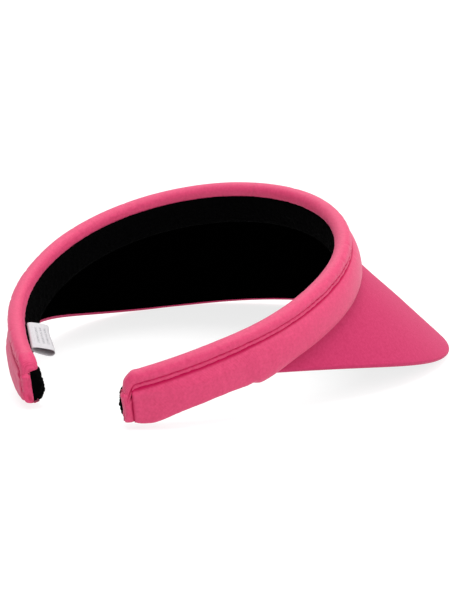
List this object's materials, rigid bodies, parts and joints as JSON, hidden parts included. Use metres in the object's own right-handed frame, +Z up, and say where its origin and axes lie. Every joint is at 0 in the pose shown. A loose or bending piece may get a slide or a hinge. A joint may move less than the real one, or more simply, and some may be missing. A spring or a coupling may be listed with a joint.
{
  "type": "sun visor",
  "caption": "Padded spring band, open at the back, with a wide conical brim lined on its underside and a terry sweatband inside.",
  "frame": {"origin": "centre of the bounding box's bottom face: the visor stands on the table z = 0 on the rim of its brim and the ends of its arms", "axes": "+X to the wearer's right, +Y out of the forehead along the brim, +Z up"},
  "size_m": [0.1852, 0.2229, 0.0742],
  "materials": {
    "pink_twill": "fine woven polyester, matt",
    "pink_thread": "polyester sewing thread",
    "black_lining": "smooth black woven lining",
    "black_terry": "black looped terry",
    "padding_foam": "soft open-cell foam",
    "brim_board": "flexible moulded sheet",
    "spring_strip": "spring steel",
    "label_ribbon": "satin ribbon"
  },
  "bodies": {
    "front": {"brim_underside": "black_lining", "brim_board": "brim_board", "brim_padding": "padding_foam", "brim_cover": "pink_twill", "front_panel": "pink_twill", "front_foam": "padding_foam", "front_roll": "pink_twill", "front_sweatband": "black_terry", "front_topstitch": "pink_thread", "spring_strip": "spring_strip"},
    "right_arm": {"right_panel": "pink_twill", "right_foam": "padding_foam", "right_roll": "pink_twill", "right_sweatband": "black_terry", "right_end_tab": "pink_twill", "right_topstitch": "pink_thread"},
    "left_arm": {"left_panel": "pink_twill", "left_foam": "padding_foam", "left_roll": "pink_twill", "left_sweatband": "black_terry", "left_end_tab": "pink_twill", "left_topstitch": "pink_thread"},
    "label": {"care_label": "label_ribbon"}
  },
  "joints": [
    {"name": "right_arm_flex", "type": "hinge", "parent": "front", "child": "right_arm", "pos_m": [0.05108, -0.07992, 0.0231], "axis": [-0.0253, -0.3892, 0.9208], "range_deg": [-3, 15], "stiffness_Nm_per_rad": 1.1, "deforming": ["spring_strip"]},
    {"name": "left_arm_flex", "type": "hinge", "parent": "front", "child": "left_arm", "pos_m": [-0.05108, -0.07992, 0.0231], "axis": [-0.0253, 0.3892, -0.9208], "range_deg": [-3, 15], "stiffness_Nm_per_rad": 1.1, "deforming": ["spring_strip"]},
    {"name": "care_label_fold", "type": "hinge", "parent": "left_arm", "child": "label", "pos_m": [-0.03661, -0.09021, 0.0228], "axis": [0.6814, -0.6672, -0.3008], "range_deg": [-55, 70], "stiffness_Nm_per_rad": 0.0004}
  ]
}
